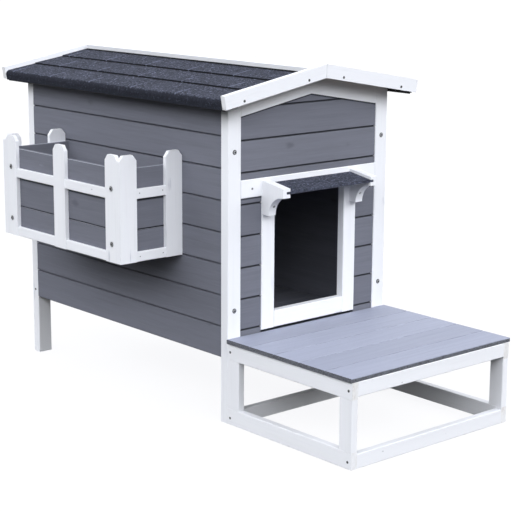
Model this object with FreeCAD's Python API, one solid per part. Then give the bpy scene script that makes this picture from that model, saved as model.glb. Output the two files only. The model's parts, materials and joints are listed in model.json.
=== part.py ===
"""Wooden cat house on legs, with an opening roof half, a picket planter and a porch deck."""
import FreeCAD, Part
import math
import os

# House frame: x runs to the right along the front, y to the back, z up from the ground
HOUSE_WIDTH = 460.0
HOUSE_DEPTH = 742.0
WALL_BOTTOM = 141.0
WALL_TOP = 684.5
POST_WIDTH = 35.0
POST_THICKNESS = 23.0
FRAME_DEPTH = 19.0
FRONT_RECESS = 2.5
EASED_EDGE = 1.2

# Tongue and groove boards
BOARD_COVER = 66.7
BOARD_THICKNESS = 12.0
BOARD_JOINT = 2.8
BOARD_CHAMFER = 1.0
TONGUE_SETBACK = 4.0
TONGUE_THICKNESS = 3.5
TONGUE_LENGTH = 4.0
TONGUE_PLAY = 0.3
LEAST_BOARD = 10.0
BOARD_END_PLAY = 0.2
FRONT_JOINT_DROP = 11.0

# Battens inside the side walls, and the floor they carry
BATTEN_SIZE = 20.0
BEARER_HEIGHT = 18.0
FLOOR_THICKNESS = 10.0
INNER_CLEARANCE = 1.0

# Doorway
DOOR_WIDTH = 202.0
DOOR_HEIGHT = 252.5
SILL_TOP = 224.5
SILL_HEIGHT = 35.5
JAMB_WIDTH = 36.0
LINTEL_HEIGHT = 38.0

# Awning over the doorway
BRACKET_THICKNESS = 20.0
BRACKET_REACH = 65.0
BRACKET_FOOT = 20.0
BRACKET_TIP = 3.0
BRACKET_DROP = 72.0
BRACKET_BELOW_LINTEL_TOP = 5.5
BRACKET_SLOPE = 9.4
AWNING_BOARD_THICKNESS = 6.0
AWNING_BOARD_SETBACK = 2.5
AWNING_SLOT_DEPTH = 10.0
AWNING_SLOT_BELOW_TOP = 6.3
AWNING_SLOT_PLAY = 0.3

# Roof
ROOF_SLOPE = 10.0
EAVE_OVERHANG = 47.5
FRONT_OVERHANG = 45.5
REAR_OVERHANG = 37.0
CAP_THICKNESS = 9.0
CAP_WIDTH = 41.0
FELT_THICKNESS = 3.0
FELT_STEP = 1.8
FELT_COURSE = 80.0
FELT_WRAP = 4.5
FELT_ROLL = 10.0
FELT_HEM = 21.5
FELT_TAB = 154.0
FELT_TAB_SLOT = 3.0
FELT_SLOT_LENGTH = 60.0
FELT_SLOT_FLOOR = 0.75
FELT_LEAST = 25.0
PANEL_THICKNESS = 9.0
EAVE_SETBACK = 1.0
EAVE_BATTEN_THICKNESS = 12.5
EAVE_BATTEN_WIDTH = 34.0
RIDGE_BATTEN_THICKNESS = 18.0
RIDGE_BATTEN_WIDTH = 24.0
BARGEBOARD_HEIGHT = 28.5
BARGEBOARD_THICKNESS = 12.0
GABLE_RAIL_HEIGHT = 43.0
LID_CLEARANCE = 0.3
SEAM_GAP = 1.0

# Butt hinges along the ridge
HINGE_LENGTH = 60.0
HINGE_KNUCKLES = 3
HINGE_INSET = 150.0
HINGE_LEAF_HEIGHT = 33.0
HINGE_LEAF_THICKNESS = 1.2
HINGE_LEAF_GAP = 0.6
HINGE_BARREL_RADIUS = 2.2
HINGE_PIN_RADIUS = 1.2
HINGE_PIN_PLAY = 0.05
HINGE_KNUCKLE_GAP = 0.4
HINGE_NOTCH_PLAY = 0.6

# Planter on the left wall
PLANTER_FRONT = 151.0
PLANTER_LENGTH = 445.0
PLANTER_DEPTH = 162.0
PLANTER_BOTTOM = 340.0
PLANTER_HEIGHT = 196.5
PLANTER_FLOOR_THICKNESS = 10.0
PICKET_WIDTH = 43.0
PICKET_THICKNESS = 9.0
PICKET_HEIGHT = 226.0
PICKET_SHOULDER_WIDTH = 9.5
PICKET_SHOULDER_HEIGHT = 12.0
PLANTER_RAIL_HEIGHT = 21.0
PLANTER_RAIL_SETBACK = 1.0
PLANTER_TOP_RAIL = 133.0

# Porch
PORCH_DEPTH = 370.0
DECK_TOP = 184.5
DECK_THICKNESS = 9.0
DECK_BOARDS = 5
DECK_GAP = 1.0
DECK_OVERHANG = 3.0
PORCH_TIMBER = 16.0
PORCH_RAIL_HEIGHT = 35.0
PORCH_CROSS_RAIL_HEIGHT = 30.0
PORCH_LEG_WIDTH = 35.0

# Bolts
BOLT_HEAD_RADIUS = 4.5
BOLT_HEAD_HEIGHT = 3.0
BOLT_HEAD_CROWN = 2.7
BOLT_SHANK_RADIUS = 2.5
BOLT_BITE = 12.0
HOLE_PLAY = 0.1
BOLT_UPPER = 575.0
BOLT_LOWER = 242.0

# Values that follow from the sizes above
Vector = FreeCAD.Vector
SLOPE_SIN = math.sin(math.radians(ROOF_SLOPE))
SLOPE_COS = math.cos(math.radians(ROOF_SLOPE))
SLOPE_TAN = SLOPE_SIN / SLOPE_COS
MIDDLE = HOUSE_WIDTH / 2
PANEL_TOP_DEPTH = CAP_THICKNESS + FELT_THICKNESS
PANEL_UNDER_DEPTH = PANEL_TOP_DEPTH + PANEL_THICKNESS
GABLE_RAIL_DEPTH = PANEL_UNDER_DEPTH + GABLE_RAIL_HEIGHT
RIDGE_TOP = WALL_TOP + PANEL_UNDER_DEPTH / SLOPE_COS + MIDDLE * SLOPE_TAN
SLOPE_LENGTH = (MIDDLE + EAVE_OVERHANG) / SLOPE_COS
PANEL_LENGTH = SLOPE_LENGTH - EAVE_SETBACK - FELT_WRAP
LEAF_SEAM = HINGE_LEAF_THICKNESS + HINGE_LEAF_GAP / 2
JAMB_LEFT = MIDDLE - DOOR_WIDTH / 2 - JAMB_WIDTH
LINTEL_BOTTOM = SILL_TOP + DOOR_HEIGHT
LINTEL_TOP = LINTEL_BOTTOM + LINTEL_HEIGHT
BRACKET_HOLLOW = BRACKET_REACH - BRACKET_FOOT - BRACKET_TIP
FRONT_JOINTS = WALL_BOTTOM - FRONT_JOINT_DROP
FLOOR_BOTTOM = WALL_BOTTOM + BEARER_HEIGHT
BATTEN_INNER = BOARD_THICKNESS + BATTEN_SIZE
BOLT_LENGTH = POST_THICKNESS + BOLT_BITE
PLANTER_REAR = PLANTER_FRONT + PLANTER_LENGTH
PLANTER_TOP = PLANTER_BOTTOM + PLANTER_HEIGHT
BOX_FACE = PICKET_THICKNESS - PLANTER_DEPTH
BOX_FRONT = PLANTER_FRONT + PICKET_THICKNESS
BOX_REAR = PLANTER_REAR - PICKET_THICKNESS
DECK_UNDER = DECK_TOP - DECK_THICKNESS
TOP_RAIL_UNDER = DECK_UNDER - PORCH_RAIL_HEIGHT
ORIGIN_X = (MIDDLE + SLOPE_LENGTH * SLOPE_COS - PLANTER_DEPTH) / 2
ORIGIN_Y = (HOUSE_DEPTH + REAR_OVERHANG - PORCH_DEPTH) / 2


# Helpers for solids
def prism(points, direction):
    """Extrudes a closed outline along a direction."""
    return Part.Face(Part.makePolygon(points + points[:1])).extrude(direction)


def outline_along_y(points, y0, y1):
    """Extrudes (x, z) points from y0 to y1."""
    return prism([Vector(x, y0, z) for x, z in points], Vector(0, y1 - y0, 0))


def outline_along_x(points, x0, x1):
    """Extrudes (y, z) points from x0 to x1."""
    return prism([Vector(x0, y, z) for y, z in points], Vector(x1 - x0, 0, 0))


def block(x0, x1, y0, y1, z0, z1):
    """A plain box between two corners."""
    return Part.makeBox(x1 - x0, y1 - y0, z1 - z0, Vector(x0, y0, z0))


def eased_corners(a0, a1, b0, b1):
    """The eight corners of a rectangle with its arrises planed off."""
    e = EASED_EDGE
    return [(a0 + e, b0), (a1 - e, b0), (a1, b0 + e), (a1, b1 - e),
            (a1 - e, b1), (a0 + e, b1), (a0, b1 - e), (a0, b0 + e)]


def timber(axis, x0, x1, y0, y1, z0, z1):
    """A planed length of timber whose long edges, along the axis, are eased."""
    if axis == "x":
        return outline_along_x(eased_corners(y0, y1, z0, z1), x0, x1)
    if axis == "y":
        return outline_along_y(eased_corners(x0, x1, z0, z1), y0, y1)
    corners = [Vector(x, y, z0) for x, y in eased_corners(x0, x1, y0, y1)]
    return prism(corners, Vector(0, 0, z1 - z0))


def mirrored(shape):
    """The same piece on the other side of the house's middle plane."""
    return shape.mirror(Vector(MIDDLE, 0, 0), Vector(1, 0, 0))


def drilled(shape, holes):
    """The piece with its holes and notches cut."""
    for hole in holes:
        shape = shape.cut(hole)
    return shape


# Bolts: each is placed by the point where its head meets the wood and the way it goes in
def bolt(point, direction, length):
    """A bolt with a low tapered head."""
    profile = [(0, -length), (BOLT_SHANK_RADIUS, -length), (BOLT_SHANK_RADIUS, 0), (BOLT_HEAD_RADIUS, 0),
               (BOLT_HEAD_CROWN, BOLT_HEAD_HEIGHT), (0, BOLT_HEAD_HEIGHT)]
    outline = [Vector(r, 0, h) for r, h in profile]
    body = Part.Face(Part.makePolygon(outline + outline[:1])).revolve(Vector(), Vector(0, 0, 1), 360)
    body.Placement = FreeCAD.Placement(point, FreeCAD.Rotation(Vector(0, 0, -1), direction))
    return body


def bolt_hole(point, direction, length):
    """The hole that a bolt's shank runs in, open at the surface."""
    return Part.makeCylinder(BOLT_SHANK_RADIUS + HOLE_PLAY, length + HOLE_PLAY + EASED_EDGE,
                             point - direction * EASED_EDGE, direction)


INTO_FRONT = Vector(0, 1, 0)
INTO_REAR = Vector(0, -1, 0)
POST_BOLTS = [(Vector(x, y, z), way)
              for x in (POST_WIDTH / 2, HOUSE_WIDTH - POST_WIDTH / 2)
              for y, way in ((0, INTO_FRONT), (HOUSE_DEPTH, INTO_REAR))
              for z in (BOLT_LOWER, BOLT_UPPER)]
POST_BOLT_HOLES = [bolt_hole(point, way, BOLT_LENGTH) for point, way in POST_BOLTS]


# Roof geometry: left half, by distance down the slope and depth below the ridge cap's top
def slope_point(distance, depth):
    """A point (x, z) of the left half, square to the slope."""
    x = MIDDLE - distance * SLOPE_COS + depth * SLOPE_SIN
    z = RIDGE_TOP - distance * SLOPE_SIN - depth * SLOPE_COS
    return (x, z)


def plumb_point(x, depth):
    """A point (x, z) of the left half straight above or below x."""
    return (x, RIDGE_TOP - (MIDDLE - x) * SLOPE_TAN - depth / SLOPE_COS)


def roof_strip(seam, length, top, under, y0, y1):
    """A sheet that runs down the slope from the plumb seam at the ridge."""
    return outline_along_y([plumb_point(MIDDLE - seam, top), slope_point(length, top),
                            slope_point(length, under), plumb_point(MIDDLE - seam, under)], y0, y1)


PANEL_FRONT = BARGEBOARD_THICKNESS - FRONT_OVERHANG
PANEL_REAR = HOUSE_DEPTH + REAR_OVERHANG - BARGEBOARD_THICKNESS
HINGE_MIDDLES = (HINGE_INSET, HOUSE_DEPTH - HINGE_INSET)


# Corner posts, cut to the slope of the roof they carry
def corner_post(rear, seat):
    """A left-hand post, standing on the ground."""
    y0 = HOUSE_DEPTH - POST_THICKNESS if rear else 0
    post = timber("z", 0, POST_WIDTH, y0, y0 + POST_THICKNESS, 0, RIDGE_TOP)
    cut = PANEL_UNDER_DEPTH + seat
    corners = [(0, 0), (POST_WIDTH, 0), plumb_point(POST_WIDTH, cut), plumb_point(0, cut)]
    return post.common(outline_along_y(corners, 0, HOUSE_DEPTH))


def make_posts():
    """The four posts, drilled for their bolts."""
    return {
        "post_front_left": drilled(corner_post(False, 0), POST_BOLT_HOLES),
        "post_rear_left": drilled(corner_post(True, 0), POST_BOLT_HOLES),
        "post_front_right": drilled(mirrored(corner_post(False, LID_CLEARANCE)), POST_BOLT_HOLES),
        "post_rear_right": drilled(mirrored(corner_post(True, LID_CLEARANCE)), POST_BOLT_HOLES),
    }


# Cladding: boards lie one on the other, with a shadow joint on the outer face
def board_profile(bottom, top, first, last):
    """The section of one board as (depth from outer face, z) points."""
    inner = TONGUE_SETBACK
    outer = TONGUE_SETBACK + TONGUE_THICKNESS
    half = BOARD_JOINT / 2
    c = BOARD_CHAMFER
    if first:
        points = [(BOARD_THICKNESS, bottom), (c, bottom), (0, bottom + c)]
    else:
        slot = bottom + TONGUE_LENGTH + TONGUE_PLAY
        points = [(BOARD_THICKNESS, bottom), (outer + TONGUE_PLAY, bottom), (outer + TONGUE_PLAY, slot),
                  (inner - TONGUE_PLAY, slot), (inner - TONGUE_PLAY, bottom + half),
                  (c, bottom + half), (0, bottom + half + c)]
    if last:
        return points + [(0, top), (BOARD_THICKNESS, top)]
    return points + [(0, top - half - c), (c, top - half), (inner, top - half), (inner, top + TONGUE_LENGTH),
                     (outer, top + TONGUE_LENGTH), (outer, top), (BOARD_THICKNESS, top)]


def cladding(face, inward, along, bottom, top, first_joint, least):
    """Boards from bottom to top behind a face point, each a separate solid."""
    count = int((top - first_joint) / BOARD_COVER) + 1
    joints = [first_joint + k * BOARD_COVER for k in range(count)]
    edges = [bottom] + [z for z in joints if bottom + LEAST_BOARD < z < top - least] + [top]
    boards = []
    for k in range(len(edges) - 1):
        section = board_profile(edges[k], edges[k + 1], k == 0, k == len(edges) - 2)
        boards.append(prism([face + inward * depth + Vector(0, 0, z) for depth, z in section], along))
    return boards


def side_wall(top):
    """The left wall's boards, from post to post."""
    start = POST_THICKNESS + BOARD_END_PLAY
    length = HOUSE_DEPTH - 2 * start
    return cladding(Vector(0, start, 0), Vector(1, 0, 0), Vector(0, length, 0),
                    WALL_BOTTOM, top, WALL_BOTTOM, 2 * LEAST_BOARD)


def gable_field(bottom):
    """The space between the posts, under the sloping gable rails."""
    left = POST_WIDTH + BOARD_END_PLAY
    right = HOUSE_WIDTH - left
    side = plumb_point(left, GABLE_RAIL_DEPTH)[1]
    peak = plumb_point(MIDDLE, GABLE_RAIL_DEPTH)[1]
    return outline_along_y([(left, bottom), (right, bottom), (right, side), (MIDDLE, peak), (left, side)],
                           0, HOUSE_DEPTH)


def gable_cladding(rear, bottom):
    """Boards of the front or rear wall from a height up to the gable rails."""
    face_y = HOUSE_DEPTH - FRONT_RECESS if rear else FRONT_RECESS
    inward = Vector(0, -1, 0) if rear else Vector(0, 1, 0)
    peak = plumb_point(MIDDLE, GABLE_RAIL_DEPTH)[1]
    boards = cladding(Vector(0, face_y, 0), inward, Vector(HOUSE_WIDTH, 0, 0),
                      bottom, peak, FRONT_JOINTS, LEAST_BOARD)
    field = gable_field(bottom)
    return [board.common(field) for board in boards]


def door_side_cladding():
    """Boards between the left post and the left door jamb, below the lintel."""
    start = POST_WIDTH + BOARD_END_PLAY
    length = JAMB_LEFT - BOARD_END_PLAY - start
    return cladding(Vector(start, FRONT_RECESS, 0), Vector(0, 1, 0), Vector(length, 0, 0),
                    WALL_BOTTOM, LINTEL_BOTTOM, FRONT_JOINTS, LEAST_BOARD)


def make_walls():
    """All cladding, grouped wall by wall."""
    left_of_door = door_side_cladding()
    return {
        "left_wall_boards": side_wall(WALL_TOP),
        "right_wall_boards": [mirrored(board) for board in side_wall(WALL_TOP - LID_CLEARANCE)],
        "rear_wall_boards": gable_cladding(True, WALL_BOTTOM),
        "front_wall_boards_left": left_of_door,
        "front_wall_boards_right": [mirrored(board) for board in left_of_door],
        "front_wall_boards_top": gable_cladding(False, LINTEL_TOP),
    }


def make_inner_battens():
    """Upright battens behind the posts, which the bolts pull the side walls to, and the floor bearers."""
    uprights = []
    for y0 in (POST_THICKNESS, HOUSE_DEPTH - POST_THICKNESS - BATTEN_SIZE):
        left = timber("z", BOARD_THICKNESS, BATTEN_INNER, y0, y0 + BATTEN_SIZE,
                      WALL_BOTTOM, WALL_TOP - LID_CLEARANCE)
        uprights += [drilled(left, POST_BOLT_HOLES), drilled(mirrored(left), POST_BOLT_HOLES)]
    start = POST_THICKNESS + BATTEN_SIZE
    bearer = timber("y", BOARD_THICKNESS, BATTEN_INNER, start, HOUSE_DEPTH - start, WALL_BOTTOM, FLOOR_BOTTOM)
    return {"side_wall_battens": uprights, "floor_bearers": [bearer, mirrored(bearer)]}


def make_floor():
    """Floor boards across the house, notched round the posts and battens."""
    front = FRAME_DEPTH + INNER_CLEARANCE
    rear = HOUSE_DEPTH - front
    left = BOARD_THICKNESS + INNER_CLEARANCE
    count = max(1, round((rear - front) / BOARD_COVER))
    width = (rear - front) / count
    corner_x = max(POST_WIDTH, BATTEN_INNER) + INNER_CLEARANCE
    corner_y = POST_THICKNESS + BATTEN_SIZE + INNER_CLEARANCE
    corners = [block(0, corner_x, 0, corner_y, 0, WALL_TOP),
               block(0, corner_x, HOUSE_DEPTH - corner_y, HOUSE_DEPTH, 0, WALL_TOP)]
    corners += [mirrored(corner) for corner in corners]
    boards = []
    for k in range(count):
        board = timber("x", left, HOUSE_WIDTH - left, front + k * width, front + (k + 1) * width,
                       FLOOR_BOTTOM, FLOOR_BOTTOM + FLOOR_THICKNESS)
        boards.append(drilled(board, corners))
    return {"floor_boards": boards}


# Front frame: lintel, jambs, sill and the sloping gable rails
def gable_rail(rear, seat):
    """A left gable rail, from the post to the plumb joint under the ridge."""
    start = POST_WIDTH
    y0 = HOUSE_DEPTH - FRAME_DEPTH if rear else 0
    points = [plumb_point(start, PANEL_UNDER_DEPTH + seat), plumb_point(MIDDLE, PANEL_UNDER_DEPTH + seat),
              plumb_point(MIDDLE, GABLE_RAIL_DEPTH), plumb_point(start, GABLE_RAIL_DEPTH)]
    return outline_along_y(points, y0, y0 + FRAME_DEPTH)


def make_front_frame():
    """The lintel across the front, the door's jambs and sill, and the four gable rails."""
    jamb_inner = JAMB_LEFT + JAMB_WIDTH
    lintel = timber("x", POST_WIDTH, HOUSE_WIDTH - POST_WIDTH, 0, FRAME_DEPTH, LINTEL_BOTTOM, LINTEL_TOP)
    jamb = timber("z", JAMB_LEFT, jamb_inner, 0, FRAME_DEPTH, SILL_TOP - SILL_HEIGHT, LINTEL_BOTTOM)
    sill = timber("x", jamb_inner, HOUSE_WIDTH - jamb_inner, 0, FRAME_DEPTH, SILL_TOP - SILL_HEIGHT, SILL_TOP)
    return {
        "lintel_rail": lintel,
        "door_jamb_left": jamb,
        "door_jamb_right": mirrored(jamb),
        "door_sill": sill,
        "front_gable_rail_left": gable_rail(False, 0),
        "front_gable_rail_right": mirrored(gable_rail(False, LID_CLEARANCE)),
        "rear_gable_rail_left": gable_rail(True, 0),
        "rear_gable_rail_right": mirrored(gable_rail(True, LID_CLEARANCE)),
    }


# Awning: two hollowed brackets with a slot that the felted board slides into
def bracket_top(y):
    """Height of the brackets' sloping top edge at a distance in front of the wall."""
    return LINTEL_TOP - BRACKET_BELOW_LINTEL_TOP + y * math.tan(math.radians(BRACKET_SLOPE))


def awning_section(front, play):
    """The (y, z) outline of the awning board, or of its slot with some play above it."""
    under = AWNING_SLOT_BELOW_TOP + AWNING_BOARD_THICKNESS
    over = AWNING_SLOT_BELOW_TOP - play
    return [(0, bracket_top(0) - under), (front, bracket_top(front) - under),
            (front, bracket_top(front) - over), (0, bracket_top(0) - over)]


def awning_bracket():
    """The left bracket, with a quarter-round hollow under its nose."""
    top = bracket_top(0)
    foot = top - BRACKET_DROP
    x0 = JAMB_LEFT
    hollow_y = BRACKET_TIP - BRACKET_REACH
    hollow_top = foot + BRACKET_HOLLOW
    bend = math.sqrt(0.5) * BRACKET_HOLLOW
    nose_top = bracket_top(-BRACKET_REACH)
    corners = [Vector(x0, -BRACKET_FOOT, foot), Vector(x0, 0, foot), Vector(x0, 0, top),
               Vector(x0, -BRACKET_REACH, nose_top), Vector(x0, -BRACKET_REACH, hollow_top),
               Vector(x0, hollow_y, hollow_top)]
    edges = [Part.makeLine(corners[k], corners[k + 1]) for k in range(len(corners) - 1)]
    arc = Part.Arc(corners[-1], Vector(x0, hollow_y + bend, foot + bend), corners[0])
    outline = Part.Wire(edges + [arc.toShape()])
    body = Part.Face(outline).extrude(Vector(BRACKET_THICKNESS, 0, 0))
    slot_end = x0 + BRACKET_THICKNESS
    slot_section = awning_section(-2 * BRACKET_REACH, AWNING_SLOT_PLAY)
    slot = outline_along_x(slot_section, slot_end - AWNING_SLOT_DEPTH, slot_end)
    return body.cut(slot)


def make_awning():
    """Both brackets and the board between them."""
    bracket = awning_bracket()
    start = JAMB_LEFT + BRACKET_THICKNESS - AWNING_SLOT_DEPTH
    section = awning_section(AWNING_BOARD_SETBACK - BRACKET_REACH, 0)
    board = outline_along_x(section, start, HOUSE_WIDTH - start)
    return {"awning_bracket_left": bracket, "awning_bracket_right": mirrored(bracket), "awning_board": board}


# Roof halves
def bargeboard(y):
    """A left bargeboard that stands above the felt, with a plumb joint at the ridge."""
    return roof_strip(SEAM_GAP / 2, SLOPE_LENGTH, 0, BARGEBOARD_HEIGHT, y, y + BARGEBOARD_THICKNESS)


def felt_course(start, end):
    """One course of felt: its lower edge stands proud of the course below, or rolls over the eave."""
    seam = MIDDLE - LEAF_SEAM
    upper = CAP_THICKNESS + FELT_STEP
    if start > 0:
        head = [slope_point(start, upper), slope_point(start, PANEL_TOP_DEPTH)]
    else:
        head = [plumb_point(seam, CAP_THICKNESS), plumb_point(seam, PANEL_TOP_DEPTH)]
    if end < PANEL_LENGTH:
        tail = [slope_point(end, PANEL_TOP_DEPTH), slope_point(end, CAP_THICKNESS)]
        return outline_along_y(head + tail, PANEL_FRONT, PANEL_REAR)
    hem = CAP_THICKNESS + FELT_HEM
    wrap = PANEL_LENGTH + FELT_WRAP
    nose = slope_point(wrap, CAP_THICKNESS)
    tail = [slope_point(PANEL_LENGTH, PANEL_TOP_DEPTH), slope_point(PANEL_LENGTH, hem), slope_point(wrap, hem), nose]
    course = outline_along_y(head + tail, PANEL_FRONT, PANEL_REAR)
    rolled = [edge for edge in course.Edges
              if all(math.hypot(tip.X - nose[0], tip.Z - nose[1]) < 0.001 for tip in edge.Vertexes)]
    return course.makeFillet(FELT_ROLL, rolled)


def tab_slots(start, end, shift):
    """Narrow slots that split the lower part of a course into tabs."""
    top = max(start, end - FELT_SLOT_LENGTH)
    floor = PANEL_TOP_DEPTH - FELT_SLOT_FLOOR
    out = end + FELT_WRAP
    outline = [slope_point(top, 0), slope_point(out, 0), slope_point(out, floor), slope_point(top, floor)]
    slots = []
    y = PANEL_FRONT + shift + FELT_TAB
    while y < PANEL_REAR - FELT_LEAST:
        slots.append(outline_along_y(outline, y, y + FELT_TAB_SLOT))
        y += FELT_TAB
    return slots


def felt_courses():
    """The left half's felt, from the wrapped eave up to the ridge."""
    ends = []
    end = PANEL_LENGTH
    while end > CAP_WIDTH + FELT_LEAST:
        ends.append(end)
        end -= FELT_COURSE
    courses = []
    for k, end in enumerate(ends):
        start = 0 if k == len(ends) - 1 else end - FELT_COURSE
        shift = FELT_TAB / 2 if k % 2 else 0
        courses.append(drilled(felt_course(start, end), tab_slots(max(start, CAP_WIDTH), end, shift)))
    return courses


def ridge_cap():
    """The left ridge cap board, notched where the hinge barrels lie."""
    cap = roof_strip(SEAM_GAP / 2, CAP_WIDTH, 0, CAP_THICKNESS, PANEL_FRONT, PANEL_REAR)
    half = HINGE_BARREL_RADIUS + HINGE_NOTCH_PLAY
    reach = HINGE_LENGTH / 2 + HINGE_NOTCH_PLAY
    top = RIDGE_TOP + CAP_THICKNESS
    return drilled(cap, [block(MIDDLE - half, MIDDLE, y - reach, y + reach, 0, top) for y in HINGE_MIDDLES])


def eave_batten():
    """The left batten under the panel's lower edge."""
    hem = PANEL_UNDER_DEPTH + EAVE_BATTEN_THICKNESS
    inner = PANEL_LENGTH - EAVE_BATTEN_WIDTH
    top = PANEL_UNDER_DEPTH
    section = [slope_point(inner, top), slope_point(PANEL_LENGTH, top),
               slope_point(PANEL_LENGTH, hem), slope_point(inner, hem)]
    return outline_along_y(section, PANEL_FRONT, PANEL_REAR)


def ridge_batten():
    """The left batten under the panel's top edge, between the gables, that the hinges screw to."""
    end = FRAME_DEPTH + INNER_CLEARANCE
    return roof_strip(LEAF_SEAM, RIDGE_BATTEN_WIDTH, PANEL_UNDER_DEPTH,
                      PANEL_UNDER_DEPTH + RIDGE_BATTEN_THICKNESS, end, HOUSE_DEPTH - end)


def make_roof():
    """The fixed left half and the opening right half."""
    panel = roof_strip(LEAF_SEAM, PANEL_LENGTH, PANEL_TOP_DEPTH, PANEL_UNDER_DEPTH, PANEL_FRONT, PANEL_REAR)
    half = {
        "roof_panel": panel,
        "roof_felt": felt_courses(),
        "eave_batten": eave_batten(),
        "ridge_batten": ridge_batten(),
        "ridge_cap": ridge_cap(),
        "bargeboard_front": bargeboard(-FRONT_OVERHANG),
        "bargeboard_rear": bargeboard(PANEL_REAR),
    }
    nodes = {}
    for name, shape in half.items():
        nodes[name + "_left"] = shape
        nodes[name + "_right"] = [mirrored(s) for s in shape] if isinstance(shape, list) else mirrored(shape)
    return nodes


# Hinges: leaves stand in the seam and the pin lies on the crest
def crest_cylinder(radius, start, length):
    """A cylinder along the ridge line, from y = start."""
    return Part.makeCylinder(radius, length, Vector(MIDDLE, start, RIDGE_TOP), Vector(0, 1, 0))


def hinge_leaf(y, knuckles):
    """A left leaf with its own knuckles of those along the barrel."""
    length = (HINGE_LENGTH - (HINGE_KNUCKLES - 1) * HINGE_KNUCKLE_GAP) / HINGE_KNUCKLES
    start = y - HINGE_LENGTH / 2
    x0 = MIDDLE - LEAF_SEAM
    x1 = x0 + HINGE_LEAF_THICKNESS
    shoulder = RIDGE_TOP - HINGE_BARREL_RADIUS - HINGE_NOTCH_PLAY
    leaf = block(x0, x1, start, start + HINGE_LENGTH, RIDGE_TOP - HINGE_LEAF_HEIGHT, shoulder)
    for k in knuckles:
        y0 = start + k * (length + HINGE_KNUCKLE_GAP)
        leaf = leaf.fuse(crest_cylinder(HINGE_BARREL_RADIUS, y0, length))
        leaf = leaf.fuse(block(x0, x1, y0, y0 + length, shoulder, RIDGE_TOP))
    bore = crest_cylinder(HINGE_PIN_RADIUS + HINGE_PIN_PLAY, start, HINGE_LENGTH)
    return leaf.cut(bore).removeSplitter()


def make_hinges():
    """Two butt hinges: outer knuckles on the fixed half, the middle one on the opening half."""
    fixed = range(0, HINGE_KNUCKLES, 2)
    moving = range(1, HINGE_KNUCKLES, 2)
    return {
        "hinge_leaves_fixed": [hinge_leaf(y, fixed) for y in HINGE_MIDDLES],
        "hinge_leaves_lid": [mirrored(hinge_leaf(y, moving)) for y in HINGE_MIDDLES],
        "hinge_pins": [crest_cylinder(HINGE_PIN_RADIUS, y - HINGE_LENGTH / 2, HINGE_LENGTH)
                       for y in HINGE_MIDDLES],
    }


# Planter: a three-sided board box on the wall, dressed with pickets and rails
def picket(centre, across, outward):
    """A picket with cut shoulders, its back on the box at the centre point."""
    half = across * (PICKET_WIDTH / 2)
    side = Vector(0, 0, PICKET_HEIGHT - PICKET_SHOULDER_HEIGHT)
    top = Vector(0, 0, PICKET_HEIGHT)
    inset = across * PICKET_SHOULDER_WIDTH
    left = centre - half
    right = centre + half
    return prism([left, right, right + side, right + top - inset, left + top + inset, left + side],
                 outward * PICKET_THICKNESS)


def make_planter():
    """The box, its floor, the pickets and the rails between them."""
    inner = BOX_FACE + BOARD_THICKNESS
    side = cladding(Vector(BOX_FACE, BOX_FRONT, 0), Vector(1, 0, 0), Vector(0, BOX_REAR - BOX_FRONT, 0),
                    PLANTER_BOTTOM, PLANTER_TOP, PLANTER_BOTTOM, LEAST_BOARD)
    end_run = Vector(-inner, 0, 0)
    front_end = cladding(Vector(inner, BOX_FRONT, 0), Vector(0, 1, 0), end_run,
                         PLANTER_BOTTOM, PLANTER_TOP, PLANTER_BOTTOM, LEAST_BOARD)
    rear_end = cladding(Vector(inner, BOX_REAR, 0), Vector(0, -1, 0), end_run,
                        PLANTER_BOTTOM, PLANTER_TOP, PLANTER_BOTTOM, LEAST_BOARD)
    floor = timber("y", inner, 0, BOX_FRONT + BOARD_THICKNESS, BOX_REAR - BOARD_THICKNESS,
                   PLANTER_BOTTOM, PLANTER_BOTTOM + PLANTER_FLOOR_THICKNESS)
    half = PICKET_WIDTH / 2
    side_middles = (BOX_FRONT + half, (BOX_FRONT + BOX_REAR) / 2, BOX_REAR - half)
    end_middles = (half - PLANTER_DEPTH, -half)
    outward = Vector(-1, 0, 0)
    pickets = [picket(Vector(BOX_FACE, y, PLANTER_BOTTOM), Vector(0, 1, 0), outward) for y in side_middles]
    for y, outward in ((BOX_FRONT, INTO_REAR), (BOX_REAR, INTO_FRONT)):
        pickets += [picket(Vector(x, y, PLANTER_BOTTOM), Vector(1, 0, 0), outward) for x in end_middles]
    rails = []
    face = PLANTER_RAIL_SETBACK - PLANTER_DEPTH
    depth = PICKET_THICKNESS - PLANTER_RAIL_SETBACK
    for z in (PLANTER_BOTTOM, PLANTER_BOTTOM + PLANTER_TOP_RAIL):
        top = z + PLANTER_RAIL_HEIGHT
        for near, far in zip(side_middles, side_middles[1:]):
            rails.append(timber("y", face, BOX_FACE, near + half, far - half, z, top))
        for y0 in (BOX_FRONT - depth, BOX_REAR):
            rails.append(timber("x", end_middles[0] + half, end_middles[1] - half, y0, y0 + depth, z, top))
    return {
        "planter_side_boards": side,
        "planter_front_end_boards": front_end,
        "planter_rear_end_boards": rear_end,
        "planter_floor_board": floor,
        "planter_pickets": pickets,
        "planter_rails": rails,
    }


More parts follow.
